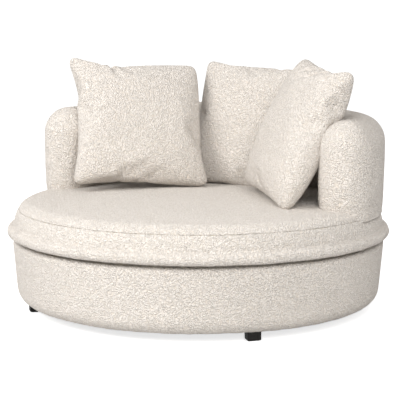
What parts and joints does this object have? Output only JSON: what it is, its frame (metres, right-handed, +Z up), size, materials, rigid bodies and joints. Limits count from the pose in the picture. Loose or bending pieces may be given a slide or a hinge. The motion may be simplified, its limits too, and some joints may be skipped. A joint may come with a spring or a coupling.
{
  "type": "round loveseat",
  "caption": "Round loveseat: padded drum base with a roll at its rim, domed fixed seat, curved padded back, loose scatter cushions and small black block feet.",
  "frame": {"origin": "on the floor, under the middle of the round base", "axes": "+Z up; the open front of the seat faces -Y; +X to the right as seen from the front"},
  "size_m": [1.4438, 1.4438, 0.926],
  "materials": {
    "cover_cloth": "looped cream cloth",
    "dust_cloth": "thin black non-woven cloth",
    "webbing": "woven strap",
    "seat_padding": "foam",
    "cushion_fill": "loose fibre in a thin bag",
    "plywood": "raw plywood",
    "timber": "raw softwood",
    "black_wood": "black stain, satin",
    "felt": "felt",
    "steel": "zinc plated",
    "zip_tape": "closed zip in the seam"
  },
  "bodies": {
    "seat_frame": {"back_foam": "seat_padding", "back_inner_cover": "cover_cloth", "back_inner_panel": "plywood", "back_outer_cover": "cover_cloth", "back_outer_panel": "plywood", "back_post_1": "timber", "back_post_2": "timber", "back_post_3": "timber", "back_post_4": "timber", "back_post_5": "timber", "back_post_6": "timber", "back_post_7": "timber", "back_spacers": "plywood", "back_top_rail": "plywood", "base_bottom_ring": "plywood", "base_cover": "cover_cloth", "base_foam": "seat_padding", "base_post_1": "timber", "base_post_2": "timber", "base_post_3": "timber", "base_post_4": "timber", "base_post_5": "timber", "base_post_6": "timber", "base_rail_cross": "timber", "base_rail_long": "timber", "base_skin": "plywood", "base_top_ring": "plywood", "dust_cover": "dust_cloth", "foot_front_left": "black_wood", "foot_front_right": "black_wood", "foot_glides": "felt", "foot_rear_left": "black_wood", "foot_rear_right": "black_wood", "post_brackets": "steel", "rim_roll_cover": "cover_cloth", "rim_roll_filling": "seat_padding", "seat_border_cover": "cover_cloth", "seat_foam": "seat_padding", "seat_top_cover": "cover_cloth", "webbing_cross": "webbing", "webbing_long": "webbing"},
    "cushion_middle": {"cushion_middle_cover": "cover_cloth", "cushion_middle_filling": "cushion_fill", "cushion_middle_zip": "zip_tape"},
    "cushion_left": {"cushion_left_cover": "cover_cloth", "cushion_left_filling": "cushion_fill", "cushion_left_zip": "zip_tape"},
    "cushion_right": {"cushion_right_cover": "cover_cloth", "cushion_right_filling": "cushion_fill", "cushion_right_zip": "zip_tape"}
  },
  "joints": [
    {"name": "cushion_middle_lift", "type": "slide", "parent": "seat_frame", "child": "cushion_middle", "axis": [0, 0, 1], "range_m": [0, 0.35]},
    {"name": "cushion_left_lift", "type": "slide", "parent": "cushion_middle", "child": "cushion_left", "axis": [0, 0, 1], "range_m": [0, 0.35]},
    {"name": "cushion_right_lift", "type": "slide", "parent": "cushion_middle", "child": "cushion_right", "axis": [0, 0, 1], "range_m": [0, 0.35]}
  ]
}
